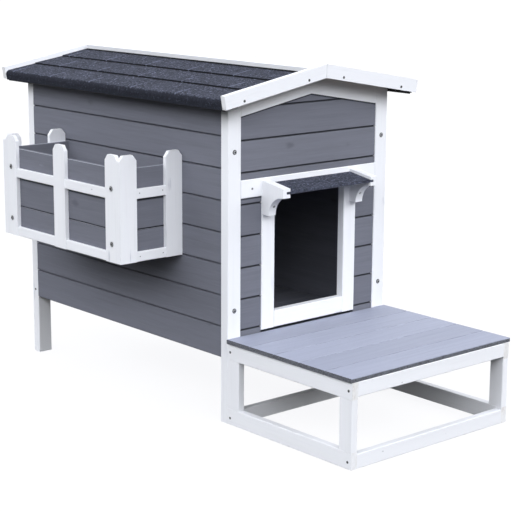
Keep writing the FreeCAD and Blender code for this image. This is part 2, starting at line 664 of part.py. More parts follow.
# Porch: two side frames, cross rails and a deck of boards
def make_porch():
    """The porch stands against the front posts."""
    top_rail = timber("y", 0, PORCH_TIMBER, -PORCH_DEPTH, 0, TOP_RAIL_UNDER, DECK_UNDER)
    bottom_rail = timber("y", 0, PORCH_TIMBER, -PORCH_DEPTH, 0, 0, PORCH_RAIL_HEIGHT)
    legs = [timber("z", 0, PORCH_TIMBER, y, y + PORCH_LEG_WIDTH, PORCH_RAIL_HEIGHT, TOP_RAIL_UNDER)
            for y in (-PORCH_DEPTH, -PORCH_LEG_WIDTH)]
    right = HOUSE_WIDTH - PORCH_TIMBER
    cross_places = (-PORCH_DEPTH, -PORCH_TIMBER)
    cross_under = DECK_UNDER - PORCH_CROSS_RAIL_HEIGHT
    top_cross = [timber("x", PORCH_TIMBER, right, y, y + PORCH_TIMBER, cross_under, DECK_UNDER)
                 for y in cross_places]
    bottom_cross = [timber("x", PORCH_TIMBER, right, y, y + PORCH_TIMBER, 0, PORCH_CROSS_RAIL_HEIGHT)
                    for y in cross_places]
    pitch = (PORCH_DEPTH + DECK_GAP) / DECK_BOARDS
    deck_end = HOUSE_WIDTH + DECK_OVERHANG
    deck = [timber("x", -DECK_OVERHANG, deck_end, DECK_GAP - (k + 1) * pitch, -k * pitch, DECK_UNDER, DECK_TOP)
            for k in range(DECK_BOARDS)]
    return {
        "porch_top_rail_left": top_rail,
        "porch_top_rail_right": mirrored(top_rail),
        "porch_bottom_rail_left": bottom_rail,
        "porch_bottom_rail_right": mirrored(bottom_rail),
        "porch_legs_left": legs,
        "porch_legs_right": [mirrored(leg) for leg in legs],
        "porch_top_cross_rails": top_cross,
        "porch_bottom_cross_rails": bottom_cross,
        "deck_boards": deck,
    }


def make_bolts():
    """Bolts through the posts into the battens behind them."""
    return {"bolts": [bolt(point, way, BOLT_LENGTH) for point, way in POST_BOLTS]}


def export(nodes):
    """Writes each node with the origin on the ground under the middle of the whole object."""
    os.makedirs("parts", exist_ok=True)
    for name, shape in nodes.items():
        solid = Part.makeCompound(shape) if isinstance(shape, list) else shape
        placed = solid.copy()
        placed.translate(Vector(-ORIGIN_X, -ORIGIN_Y, 0))
        placed.exportStep("parts/" + name + ".step")


def main():
    """Builds every piece and writes it."""
    nodes = {}
    for make in (make_posts, make_walls, make_inner_battens, make_floor, make_front_frame, make_awning,
                 make_roof, make_hinges, make_planter, make_porch, make_bolts):
        nodes.update(make())
    export(nodes)


main()
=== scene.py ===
"""Cat house: finishes, fasteners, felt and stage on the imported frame."""
import json
import math

import bmesh
import bpy
from bpy.props import FloatProperty, FloatVectorProperty, PointerProperty
from mathutils import Matrix, Vector


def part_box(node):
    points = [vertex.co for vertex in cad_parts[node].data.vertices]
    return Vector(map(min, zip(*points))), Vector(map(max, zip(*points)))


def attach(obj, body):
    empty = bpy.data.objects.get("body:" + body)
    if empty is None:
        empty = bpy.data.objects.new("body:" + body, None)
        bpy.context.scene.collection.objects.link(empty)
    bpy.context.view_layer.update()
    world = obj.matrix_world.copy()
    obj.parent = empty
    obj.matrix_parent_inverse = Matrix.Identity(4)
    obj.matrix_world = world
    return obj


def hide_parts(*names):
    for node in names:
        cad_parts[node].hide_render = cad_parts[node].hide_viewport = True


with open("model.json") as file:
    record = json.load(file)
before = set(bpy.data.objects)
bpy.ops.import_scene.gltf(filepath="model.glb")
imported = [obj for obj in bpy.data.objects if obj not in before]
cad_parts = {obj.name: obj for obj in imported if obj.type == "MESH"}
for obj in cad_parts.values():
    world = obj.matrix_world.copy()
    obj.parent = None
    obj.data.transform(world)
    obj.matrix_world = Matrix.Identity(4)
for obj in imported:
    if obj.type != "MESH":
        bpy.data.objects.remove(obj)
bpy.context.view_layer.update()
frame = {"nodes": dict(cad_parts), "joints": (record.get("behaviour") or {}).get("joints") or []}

bl_info = {
    "name": "Cat house",
    "version": (1, 0, 0),
    "blender": (4, 5, 0),
    "location": "View3D > Sidebar > Cat house",
    "description": "Finishes the cat house: paint, felt, fasteners, light and camera",
    "category": "Object",
}

NODES = frame["nodes"]
MILLIMETRES = 1000.0

# Places that the frame gives, in metres
RIDGE = Vector(frame["joints"][0]["pos_m"])
CABIN_MIDDLE = (RIDGE.x, RIDGE.y, 0.0)
WALL_BOARDS_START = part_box("left_wall_boards")[0].z
PLANTER_BOARDS_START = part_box("planter_side_boards")[0].z
LINTEL_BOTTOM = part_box("lintel_rail")[0].z
GABLE_BOARDS_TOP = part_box("front_wall_boards_top")[1].z
FLOOR_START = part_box("floor_boards")[0].y
DECK_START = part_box("deck_boards")[0].y
FELT_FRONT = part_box("roof_felt_left")[0].y
# The house frame starts at the left front corner of the walls, the object frame at the middle of the whole
HOUSE_ORIGIN = -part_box("post_front_left")[0]

# Sizes of the part that the finishes follow, in metres
SLOPE = math.radians(10.0)
BOARD_PITCH = 0.0667
FLOOR_PITCH = 0.06382
DECK_PITCH = 0.0742
# The lowest boards of the front and the rear wall are cut narrower by this much
FRONT_BOARDS_CUT = 0.011
FRONT_BOARDS_START = WALL_BOARDS_START - FRONT_BOARDS_CUT
# The planter's floor is one board, which lies within one pitch
PLANTER_FLOOR_START = -0.5
PLANTER_FLOOR_PITCH = 0.4
# Shade is painted on the boards just below the planter's upper rails
PLANTER_RAIL_SHADE_LINE = 0.4705
# The planter's rails further out than this lie along its side
PLANTER_SIDE_RAILS = -0.3245
# Down the slope from the ridge: where the lowest course ends, and where it starts to roll over the eave
FELT_END = 0.27628
FELT_ROLL = 0.27
FELT_COURSE = 0.080
FELT_TAB = 0.154
FELT_TAB_SLOT = 0.003
# The painted lines have a place where they end and one where they have their full strength
# Painted shadow below the ridge cap, down the slope
CAP_SHADOW_END = 0.0550
CAP_SHADOW_FULL = 0.0515
# Painted shade either side of a rail's edge that covers the boards
RAIL_SHADE_END = 0.0045
RAIL_SHADE_FULL = 0.0025
# Painted highlight in from the outer top edge of the planter's boards
ARRIS_HIGHLIGHT_END = 0.0046
ARRIS_HIGHLIGHT_FULL = 0.0030
# Painted shade either side of a joint between boards, as a share of a board
JOINT_SHADE_END = 0.036
JOINT_SHADE_FULL = 0.021
# Painted shade along the rear and the front edge of a deck board, where the gaps are, as a share of a board
DECK_GAP_SHADE_REAR = (0.962, 0.975)
DECK_GAP_SHADE_FRONT = (0.022, 0.010)
# Either side of a slot between the felt's tabs, as a share of a tab
TAB_LINE_END = 0.036
TAB_LINE_FULL = 0.024
# Painted shade below the lap of the next course, as a share of a course
LAP_SHADE_END = 0.915
LAP_SHADE_FULL = 0.93
# A face looks outwards if the way to it from the cabin's middle, along its normal, is more than this
OUTWARDS = -0.05

# How much of the boards' own tone is left where shade is painted in their joints and along the rails over
# them
SIDE_JOINT_SHADE = 0.68
GABLE_JOINT_SHADE = 0.36
DOOR_JOINT_SHADE = 0.34
PLANTER_SIDE_JOINT_SHADE = 0.4
PLANTER_END_JOINT_SHADE = 0.25
DECK_JOINT_SHADE = 0.38
# The awning's felt is the roof's felt painted paler, as painted light for the light it gets
AWNING_LIGHT_TONE = 1.28
# How bright each piece of metal is, against the steel's own colour; the washers, sockets and recesses are
# darkened as painted shade
METAL_TONES = {
    "zinc_washer_shade": 0.16,
    "zinc_bolt": 0.8,
    "zinc_socket_shade": 0.03,
    "zinc_planter_bolt": 0.55,
    "zinc_screw": 0.36,
    "zinc_recess_shade": 0.12,
    "zinc_lintel_screw": 1.2,
    "zinc_lintel_recess_shade": 0.36,
}


def house(x, y, z):
    """A point of the house frame in millimetres, as a point of the object frame in metres."""
    return Vector((x, y, z)) / MILLIMETRES - HOUSE_ORIGIN


def house_end(node, side, axis):
    """Where a node's box starts (side 0) or ends (side 1) on an axis of the house frame, in millimetres."""
    return (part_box(node)[side][axis] + HOUSE_ORIGIN[axis]) * MILLIMETRES


# Fasteners as the photo shows them, in millimetres of the house frame
HOUSE_WIDTH = house_end("post_rear_right", 1, 0)
HOUSE_DEPTH = house_end("post_rear_right", 1, 1)
POST_WIDTH = house_end("post_front_left", 1, 0)
POST_BOLT_HEIGHTS = (242.0, 575.0)
PLANTER_BOLT_DEPTHS = (182.0, 565.5)
PLANTER_BOLT_HEIGHTS = (378.0, 495.0)
PLANTER_BOLT_SINK = 0.4
LINTEL_SCREW_ASIDE = 65.6
LINTEL_SCREW_HEIGHT = 495.1
# Each bracket's screw stands square on the hollowed edge: its place and the way it faces
BRACKET_SCREWS = (
    ((104.4, -24.4, 456.3), (0.0, -0.894, -0.448)),
    ((355.6, -25.0, 457.5), (0.0, -0.88, -0.475)),
)
BARGEBOARD_SCREW_DISTANCES = (54.3, 232.6)
BARGEBOARD_SCREW_DEPTH = 21.8
PORCH_SCREW_DEPTHS = (-8.0, -360.0)
PORCH_SCREW_HEIGHTS = (14.5, 158.0)
REAR_POST_SCREW_DEPTH = 730.5
REAR_POST_SCREW_HEIGHT = 157.0
BRAD_ASIDES = (-111.0, -51.0)
BRAD_HEIGHTS = (351.0, 485.0)
LEFT = (-1.0, 0.0, 0.0)
RIGHT = (1.0, 0.0, 0.0)
FRONT = (0.0, -1.0, 0.0)
REAR = (0.0, 1.0, 0.0)

# A bolt's form: shares of the head's radius, lengths in metres, and how far each is turned on from the last
BOLT_SIDES = 30
BOLT_TURN = 0.4
PLANTER_BOLT_TURN = 0.7
WASHER_THICKNESS = 0.0008
WASHER_INSETS = (0.04, 0.20)
HEAD_SIDE = 0.0006
DOME_STEPS = ((0.08, 0.0005), (0.12, 0.0004), (0.12, 0.0002), (0.06, 0.0))
SOCKET_DEPTH = 0.0015
SOCKET_REACH = 0.385
SOCKET_LOWEST = 0.0006
SOCKET_HIGHEST = 0.0024
HEAD_LOWEST = 0.0009
BOLT_SHANK = 0.018

# A screw's and a brad's form, in the same way
SCREW_SIDES = 24
SCREW_TURN = 0.9
SCREW_THICKNESS = 0.0006
SCREW_MIDDLE = 0.0001
SCREW_STEPS = ((0.14, 0.0002), (0.20, 0.0001))
RECESS_INSET = 0.08
RECESS_DEPTH = 0.0005
RECESS_REACH = 0.6
RECESS_HIGHEST = 0.0005
SCREW_SHANK = 0.012
BRAD_SIDES = 16
BRAD_THICKNESS = 0.0004
BRAD_STEPS = ((0.3, 0.00012), (0.3, 0.00005))
BRAD_SHANK = 0.006
SHANK_INSET = 0.5
BRAD_SHANK_INSET = 0.4
SMOOTH_BELOW = math.radians(40)
# A middle face looks along the axis and has its middle on it
ALONG_AXIS = 0.9
ON_AXIS = 1e-5

# Colours that go with the paints, felt and pine
KNOT_GREY = (0.46, 0.485, 0.55)
SMUDGE_GREY = (0.44, 0.46, 0.53)
SPECK_GREY = (0.26, 0.26, 0.29)
SAWN_END_PALE = (0.80, 0.785, 0.765)
SAWN_END_DARK = (0.62, 0.585, 0.55)
# A painted highlight for the top edges of the planter's boards
ARRIS_HIGHLIGHT_TONE = (0.46, 0.48, 0.54)
DECK_SIDE_DARK = (0.055, 0.058, 0.066)
DECK_SIDE_PALE = (0.17, 0.178, 0.205)
# Near-black painted shade at the felt's laps and below the ridge cap
FELT_LAP_SHADE = (0.003, 0.0032, 0.0045)
PINE_RING = (0.40, 0.26, 0.14)
PINE_KNOT = (0.17, 0.085, 0.04)
NEAR_BLACK_DARK = (0.016, 0.016, 0.019)
NEAR_BLACK_PALE = (0.032, 0.031, 0.034)

# The stage: heights are the upward part of a direction, from 0 at the horizon to 1 overhead
FLOOR_SIZE = 40.0
FLOOR_LIT = (0.05, 0.05, 0.046)
FLOOR_SEEN = (0.11, 0.107, 0.097)
FLOOR_GLOW = (1.0, 1.005, 1.03)
FLOOR_GLOW_STRENGTH = 0.9
FLOOR_ROUGHNESS = 0.9
LIGHT_FROM = 0.14
LIGHT_FULL = 0.50
OVERHEAD_FROM = 0.60
OVERHEAD_FULL = 0.85
TINT_FROM = 0.1
TINT_FULL = 0.5
LOW_TINT = (1.0, 1.0, 0.96)
HIGH_TINT = (0.975, 1.0, 1.05)
FRONT_LEFT = (-0.4, -0.92, 0.0)
WHITE = (1.0, 1.0, 1.0)
SENSOR_WIDTH = 36.0
VIEW_END = 100.0


# Settings
class CatHouseFinish(bpy.types.PropertyGroup):
    """Colours of the finishes"""
    white_paint: FloatVectorProperty(
        name="White paint", description="Colour of the posts, rails and pickets", subtype="COLOR",
        default=(0.85, 0.858, 0.892), min=0.0, max=1.0)
    grey_paint: FloatVectorProperty(
        name="Grey paint", description="Colour of the wall and planter boards", subtype="COLOR",
        default=(0.166, 0.172, 0.206), min=0.0, max=1.0)
    deck_paint: FloatVectorProperty(
        name="Deck paint", description="Colour of the porch boards", subtype="COLOR",
        default=(0.342, 0.364, 0.46), min=0.0, max=1.0)
    felt: FloatVectorProperty(
        name="Felt", description="Colour of the roofing felt's granules", subtype="COLOR",
        default=(0.0525, 0.0575, 0.0805), min=0.0, max=1.0)
    pine: FloatVectorProperty(
        name="Bare pine", description="Colour of the unpainted timber", subtype="COLOR",
        default=(0.56, 0.42, 0.27), min=0.0, max=1.0)
    steel: FloatVectorProperty(
        name="Zinc", description="Colour of the zinc-plated steel", subtype="COLOR",
        default=(0.46, 0.47, 0.49), min=0.0, max=1.0)


class CatHouseFasteners(bpy.types.PropertyGroup):
    """Sizes of the fasteners' heads"""
    bolt_head: FloatProperty(
        name="Bolt head", description="Radius of a bolt's head", unit="LENGTH", default=0.0052, min=0.001)
    planter_bolt_head: FloatProperty(
        name="Planter bolt head", description="Radius of the head of a bolt in the planter", unit="LENGTH",
        default=0.006, min=0.001)
    screw_head: FloatProperty(
        name="Screw head", description="Radius of a screw's head", unit="LENGTH", default=0.0029, min=0.001)
    brad_head: FloatProperty(
        name="Brad head", description="Radius of a brad's head", unit="LENGTH", default=0.0012, min=0.0005)


class CatHouseStage(bpy.types.PropertyGroup):
    """Light and camera"""
    light: FloatProperty(
        name="Light", description="Strength of the soft light round the object", default=3.72, min=0.0)
    front_light: FloatProperty(
        name="Front light", description="Share of extra light from the front and left", subtype="FACTOR",
        default=0.4, min=0.0, max=1.0)
    overhead: FloatProperty(
        name="Overhead", description="Share of the light that is left overhead", subtype="FACTOR",
        default=0.0, min=0.0, max=1.0)
    lens: FloatProperty(
        name="Lens", description="Focal length of the camera", subtype="DISTANCE_CAMERA",
        default=106.12, min=1.0)
    camera_place: FloatVectorProperty(
        name="Camera place", description="Where the camera stands", subtype="TRANSLATION",
        default=(-2.12305, -2.53090, 1.02243))
    camera_turn: FloatVectorProperty(
        name="Camera turn", description="Camera's azimuth, elevation and roll", subtype="EULER",
        default=(math.radians(-41.066), math.radians(12.269), math.radians(0.316)))


# Materials
class Tree:
    """A node tree, built one node at a time."""

    def __init__(self, node_tree):
        self.nodes = node_tree.nodes
        self.links = node_tree.links

    def put(self, target, value):
        """Sets a socket, or links it where the value is another node's socket."""
        if isinstance(value, bpy.types.NodeSocket):
            self.links.new(value, target)
        elif hasattr(target.default_value, "__len__") and len(target.default_value) == 4:
            target.default_value = tuple(value)[:3] + (1.0,)
        else:
            target.default_value = value

    def add(self, kind, out=0, sockets=None, **settings):
        """Adds a node and returns one of its outputs."""
        node = self.nodes.new("ShaderNode" + kind)
        for name, value in settings.items():
            setattr(node, name, value)
        for socket, value in (sockets or {}).items():
            self.put(node.inputs[socket], value)
        return node.outputs[out]

    def math(self, operation, a, b=0.0, c=0.0):
        return self.add("Math", 0, {0: a, 1: b, 2: c}, operation=operation)

    def vector(self, operation, a, b=(0.0, 0.0, 0.0)):
        return self.add("VectorMath", 0, {0: a, 1: b}, operation=operation)

    def dot(self, a, b):
        return self.add("VectorMath", 1, {0: a, 1: b}, operation="DOT_PRODUCT")

    def axis(self, vector, index):
        return self.add("SeparateXYZ", index, {0: vector})

    def mix(self, factor, a, b):
        return self.add("Mix", 2, {0: factor, 6: a, 7: b}, data_type="RGBA")

    def fade(self, value, start, end, low=0.0, high=1.0):
        """Goes smoothly from low to high while value goes from start to end."""
        return self.add("MapRange", 0, {0: value, 1: start, 2: end, 3: low, 4: high},
                        interpolation_type="SMOOTHSTEP")

    def noise(self, vector, scale=1.0, detail=3.0, roughness=0.5):
        return self.add("TexNoise", 0, {"Vector": vector, "Scale": scale, "Detail": detail,
                                        "Roughness": roughness})


class Finish(Tree):
    """A material with its shader, on Object coordinates."""

    def __init__(self, name):
        self.material = bpy.data.materials.new(name)
        self.material.use_nodes = True
        super().__init__(self.material.node_tree)
        self.shader = self.nodes["Principled BSDF"]
        coordinates = self.nodes.new("ShaderNodeTexCoord").outputs
        self.place = coordinates["Object"]
        self.normal = coordinates["Normal"]

    def grain(self, turn, offset=None):
        """Object coordinates turned so that X runs along the grain."""
        place = self.place if offset is None else self.vector("ADD", self.place, offset)
        return self.add("Mapping", 0, {"Vector": place, "Rotation": turn})

    def along(self, turn):
        """How far the surface faces along the grain, as on a sawn end."""
        turned = self.add("Mapping", 0, {"Vector": self.normal, "Rotation": turn})
        return self.math("ABSOLUTE", self.axis(turned, 0))

    def figure(self, grain, stretch, detail, roughness):
        """Noise that is drawn out along the grain."""
        return self.noise(self.vector("MULTIPLY", grain, stretch), 1.0, detail, roughness)

    def boards(self, index, start, pitch):
        """How many boards lie before a point, counted along one axis."""
        return self.math("DIVIDE", self.math("SUBTRACT", self.axis(self.place, index), start), pitch)

    def board(self, index, start, pitch):
        """A number from 0 to 1 for each board."""
        count = self.math("FLOOR", self.boards(index, start, pitch))
        return self.add("TexWhiteNoise", 0, {"W": count}, noise_dimensions="1D")

    def shift(self, one, spread):
        """An offset that differs from board to board, so that each has its own figure."""
        parts = {index: self.math("MULTIPLY", one, reach) for index, reach in enumerate(spread)}
        return self.add("CombineXYZ", 0, parts)

    def knots(self, grain, spacing, share, size):
        """Soft spots where branches were: 1 in the middle of a knot, 0 away from it."""
        scaled = self.vector("MULTIPLY", grain, spacing)
        drift = self.add("TexNoise", 1, {"Vector": scaled, "Scale": 3.0, "Detail": 2.0})
        warped = self.vector("ADD", scaled, self.vector("MULTIPLY", drift, (0.25,) * 3))
        cell = self.nodes.new("ShaderNodeTexVoronoi")
        cell.inputs["Scale"].default_value = 1.0
        self.links.new(warped, cell.inputs["Vector"])
        chosen = self.math("LESS_THAN", self.axis(cell.outputs["Color"], 0), share)
        near = self.fade(cell.outputs["Distance"], size, size * 0.25)
        return self.math("MULTIPLY", chosen, near)

    def bump(self, height, strength, distance):
        relief = self.add("Bump", 0, {"Height": height, "Strength": strength, "Distance": distance})
        self.links.new(relief, self.shader.inputs["Normal"])

    def finish(self, colour, roughness, **sockets):
        """Sets the shader's colour, roughness and any other socket, and returns the material."""
        self.put(self.shader.inputs["Base Color"], colour)
        self.put(self.shader.inputs["Roughness"], roughness)
        for name, value in sockets.items():
            self.put(self.shader.inputs[name.replace("_", " ")], value)
        return self.material


def shade(colour, factor):
    """The same colour, lighter or darker."""
    return tuple(channel * factor for channel in colour)


# Turns that lay X along the grain of pieces that run along an axis or down a roof half
TURNS = {
    "x": (0.0, 0.0, 0.0),
    "y": (0.0, 0.0, -math.pi / 2),
    "z": (0.0, math.pi / 2, 0.0),
    "left": (0.0, SLOPE, 0.0),
    "right": (0.0, -SLOPE, 0.0),
}


def white_timber(name, paint, turn, ends=0.35, split=None):
    """Thin white paint on planed softwood: faint grain, grey-blue knots, sawn ends a little bare."""
    tree = Finish(name)
    grain = tree.grain(TURNS[turn])
    if split is not None:
        other = tree.math("LESS_THAN", tree.axis(tree.place, 0), split)
        grain = tree.add("Mix", 1, {0: other, 4: grain, 5: tree.grain(TURNS["y"])}, data_type="VECTOR")
    streak = tree.figure(grain, stretch=(7.0, 150.0, 150.0), detail=4.0, roughness=0.6)
    broad = tree.figure(grain, stretch=(2.2, 26.0, 26.0), detail=2.0, roughness=0.5)
    brush = tree.figure(grain, stretch=(16.0, 620.0, 620.0), detail=2.0, roughness=0.6)
    colour = tree.mix(tree.fade(streak, 0.52, 0.80, high=0.4), paint, shade(paint, 0.87))
    colour = tree.mix(tree.fade(broad, 0.45, 0.75, high=0.45), colour, shade(paint, 0.92))
    knot = tree.knots(grain, spacing=(6.5, 19.0, 19.0), share=0.16, size=0.30)
    colour = tree.mix(tree.math("MULTIPLY", knot, 0.5), colour, KNOT_GREY)
    smudge = tree.knots(grain, spacing=(14.0, 38.0, 38.0), share=0.10, size=0.26)
    smudge = tree.math("MULTIPLY", smudge, tree.fade(brush, 0.42, 0.58, high=0.6))
    colour = tree.mix(smudge, colour, SMUDGE_GREY)
    speck = tree.knots(grain, spacing=(60.0, 110.0, 110.0), share=0.012, size=0.2)
    colour = tree.mix(tree.math("MULTIPLY", speck, 0.6), colour, SPECK_GREY)
    if ends:
        end = tree.fade(tree.along(TURNS[turn]), 0.75, 0.95)
        rings = tree.figure(grain, stretch=(5.0, 240.0, 120.0), detail=3.0, roughness=0.6)
        bare = tree.mix(tree.fade(rings, 0.35, 0.65), SAWN_END_PALE, SAWN_END_DARK)
        patchy = tree.math("MULTIPLY", end, tree.fade(broad, 0.3, 0.6, 0.3 * ends, ends))
        colour = tree.mix(patchy, colour, bare)
    relief = tree.math("ADD", tree.math("MULTIPLY", streak, 0.7), brush)
    tree.bump(relief, strength=0.14, distance=0.0006)
    return tree.finish(colour, tree.fade(streak, 0.2, 0.8, 0.42, 0.62), Specular_IOR_Level=0.2)


def joint_and_rail_shade(tree, across, start, pitch, shaded_lap, gable):
    """1 where shade is painted: in the joints between boards and along the rail over their edge, on faces
    that look outwards.
    """
    near = tree.math("PINGPONG", tree.boards(across, start, pitch), 0.5)
    groove_shade = tree.fade(near, JOINT_SHADE_END, JOINT_SHADE_FULL)
    if shaded_lap is not None:
        level = tree.axis(tree.place, across)
        if gable:
            aside = tree.math("ABSOLUTE", tree.math("SUBTRACT", tree.axis(tree.place, 0), RIDGE.x))
            level = tree.math("MULTIPLY_ADD", aside, math.tan(SLOPE), level)
        below = tree.math("ABSOLUTE", tree.math("SUBTRACT", level, shaded_lap))
        groove_shade = tree.math("MAXIMUM", groove_shade, tree.fade(below, RAIL_SHADE_END, RAIL_SHADE_FULL))
    reach = tree.vector("MULTIPLY", tree.vector("SUBTRACT", tree.place, CABIN_MIDDLE), (1.0, 1.0, 0.0))
    outside = tree.math("GREATER_THAN", tree.dot(reach, tree.normal), OUTWARDS)
    return tree.math("MULTIPLY", groove_shade, outside)


def arris_highlight(tree, index, edge):
    """1 on the top face along the outer top edge of the boards, where a highlight is painted pale."""
    up = tree.fade(tree.axis(tree.normal, 2), 0.75, 0.97, high=0.9)
    away = tree.math("ABSOLUTE", tree.math("SUBTRACT", tree.axis(tree.place, index), edge))
    return tree.math("MULTIPLY", up, tree.fade(away, ARRIS_HIGHLIGHT_END, ARRIS_HIGHLIGHT_FULL))


def grey_boards(name, paint, turn, across, start, pitch, joint_shade=None, arris=None, shaded_lap=None, gable=False):
    """Grey-blue paint on boards: each its own tone and figure, painted shade in the joints and under the
    rails, a painted highlight along the top edges where an arris is given, pale scuffs and dark knots.
    """
    tree = Finish(name)
    one = tree.board(across, start, pitch)
    grain = tree.grain(TURNS[turn], tree.shift(one, (7.3, 3.1, 5.7)))
    streak = tree.figure(grain, stretch=(6.0, 120.0, 120.0), detail=5.0, roughness=0.62)
    broad = tree.figure(grain, stretch=(2.0, 18.0, 18.0), detail=2.0, roughness=0.5)
    brush = tree.figure(grain, stretch=(14.0, 520.0, 520.0), detail=2.0, roughness=0.6)
    colour = tree.mix(one, shade(paint, 0.94), shade(paint, 1.06))
    colour = tree.mix(tree.fade(streak, 0.38, 0.75, high=0.5), colour, shade(paint, 0.82))
    colour = tree.mix(tree.fade(broad, 0.45, 0.8, high=0.35), colour, shade(paint, 1.18))
    colour = tree.mix(tree.fade(brush, 0.52, 0.75, high=0.35), colour, shade(paint, 1.25))
    knot = tree.knots(grain, spacing=(12.0, 24.0, 24.0), share=0.12, size=0.24)
    colour = tree.mix(tree.math("MULTIPLY", knot, 0.45), colour, shade(paint, 0.5))
    scuff = tree.knots(grain, spacing=(9.0, 34.0, 34.0), share=0.06, size=0.16)
    scuff = tree.math("MULTIPLY", scuff, tree.fade(brush, 0.45, 0.6, high=0.5))
    colour = tree.mix(scuff, colour, shade(paint, 2.0))
    if joint_shade is not None:
        # Painted shade in the joints and along the rails over the boards
        colour = tree.mix(joint_and_rail_shade(tree, across, start, pitch, shaded_lap, gable), colour, shade(paint, joint_shade))
    if arris is not None:
        # A painted highlight on the top face along the boards' outer edge
        colour = tree.mix(arris_highlight(tree, *arris), colour, ARRIS_HIGHLIGHT_TONE)
    end = tree.fade(tree.along(TURNS[turn]), 0.75, 0.95, high=0.5)
    colour = tree.mix(end, colour, shade(paint, 0.7))
    relief = tree.math("ADD", tree.math("MULTIPLY", streak, 1.2), brush)
    tree.bump(relief, strength=0.22, distance=0.0008)
    return tree.finish(colour, tree.fade(streak, 0.2, 0.8, 0.5, 0.7), Specular_IOR_Level=0.07)


def deck_paint(name, paint, start, pitch):
    """Grey deck paint: tone changes from board to board, painted shade along the gaps, the sides darker than
    the tops.
    """
    tree = Finish(name)
    one = tree.board(1, start, pitch)
    grain = tree.grain(TURNS["x"], tree.shift(one, (6.1, 4.7, 2.3)))
    streak = tree.figure(grain, stretch=(5.0, 110.0, 110.0), detail=5.0, roughness=0.62)
    broad = tree.figure(grain, stretch=(2.5, 20.0, 20.0), detail=2.0, roughness=0.5)
    brush = tree.figure(grain, stretch=(12.0, 480.0, 480.0), detail=2.0, roughness=0.6)
    colour = tree.mix(one, shade(paint, 0.92), shade(paint, 1.06))
    colour = tree.mix(tree.fade(streak, 0.4, 0.75, high=0.28), colour, shade(paint, 0.80))
    colour = tree.mix(tree.fade(broad, 0.45, 0.8, high=0.25), colour, shade(paint, 1.12))
    fleck = tree.figure(tree.place, stretch=(90.0, 330.0, 330.0), detail=2.0, roughness=0.6)
    colour = tree.mix(tree.fade(fleck, 0.5, 0.75, high=0.4), colour, shade(paint, 0.84))
    knot = tree.knots(grain, spacing=(6.0, 17.0, 17.0), share=0.16, size=0.24)
    colour = tree.mix(tree.math("MULTIPLY", knot, 0.35), colour, shade(paint, 0.6))
    across = tree.math("FRACT", tree.boards(1, start, pitch))
    # Painted shade along the gaps between the boards, broken up by noise
    joint_shade = tree.math("MAXIMUM", tree.fade(across, *DECK_GAP_SHADE_REAR), tree.fade(across, *DECK_GAP_SHADE_FRONT))
    patchy = tree.figure(tree.place, stretch=(30.0, 5.0, 5.0), detail=3.0, roughness=0.6)
    joint_shade = tree.math("MULTIPLY", joint_shade, tree.fade(patchy, 0.3, 0.6, 0.05, 0.45))
    colour = tree.mix(joint_shade, colour, shade(paint, DECK_JOINT_SHADE))
    # The sides are darker than the tops
    side = tree.fade(tree.axis(tree.normal, 2), 0.75, 0.35)
    side_tone = tree.noise(tree.place, 420.0, 3.0, 0.65)
    side_tone = tree.mix(tree.fade(side_tone, 0.35, 0.65), DECK_SIDE_DARK, DECK_SIDE_PALE)
    colour = tree.mix(side, colour, side_tone)
    relief = tree.math("ADD", tree.math("MULTIPLY", streak, 1.2), brush)
    tree.bump(relief, strength=0.2, distance=0.0008)
    return tree.finish(colour, tree.fade(streak, 0.2, 0.8, 0.45, 0.66), Specular_IOR_Level=0.15)


def felt_courses(tree, colour, granules, clump, facing):
    """The felt's colour with pale lines between the tabs, painted shade at the laps and on the faces of the
    steps, and a painted shadow line below the ridge cap.
    """
    aside = tree.math("ABSOLUTE", tree.math("SUBTRACT", tree.axis(tree.place, 0), RIDGE.x))
    drop = tree.math("SUBTRACT", RIDGE.z, tree.axis(tree.place, 2))
    down = tree.math("ADD", tree.math("MULTIPLY", aside, math.cos(SLOPE)),
                     tree.math("MULTIPLY", drop, math.sin(SLOPE)))
    courses = tree.math("DIVIDE", tree.math("SUBTRACT", FELT_END, down), FELT_COURSE)
    up = tree.math("FRACT", courses)
    course = tree.math("FLOOR", courses)
    ragged = tree.figure(tree.place, stretch=(0.0, 90.0, 0.0), detail=3.0, roughness=0.65)
    edge = tree.math("ADD", up, tree.fade(ragged, 0.3, 0.7, -0.03, 0.03))
    roof = tree.math("LESS_THAN", down, FELT_ROLL)
    tab = tree.math("DIVIDE", tree.math("SUBTRACT", tree.axis(tree.place, 1), FELT_FRONT), FELT_TAB)
    tab = tree.math("FRACT", tree.math("ADD", tab, tree.math("MULTIPLY", course, 0.5)))
    slot_middle = FELT_TAB_SLOT / 2 / FELT_TAB
    near = tree.math("ABSOLUTE", tree.math("SUBTRACT", tab, slot_middle))
    line = tree.fade(near, TAB_LINE_END, TAB_LINE_FULL)
    line = tree.math("MULTIPLY", line, tree.fade(up, 0.80, 0.40, high=0.85))
    line = tree.math("MULTIPLY", line, tree.fade(clump, 0.34, 0.52))
    colour = tree.mix(line, colour, shade(granules, 3.0))
    # Painted shade below each lap, on the steps' faces and below the ridge cap
    shaded_lap = tree.math("MAXIMUM", tree.fade(edge, LAP_SHADE_END, LAP_SHADE_FULL), tree.fade(facing, 0.5, 0.7))
    shaded_lap = tree.math("MAXIMUM", shaded_lap, tree.fade(down, CAP_SHADOW_END, CAP_SHADOW_FULL))
    shaded_lap = tree.math("MULTIPLY", shaded_lap, tree.math("MULTIPLY", roof, 0.96))
    return tree.mix(shaded_lap, colour, FELT_LAP_SHADE)


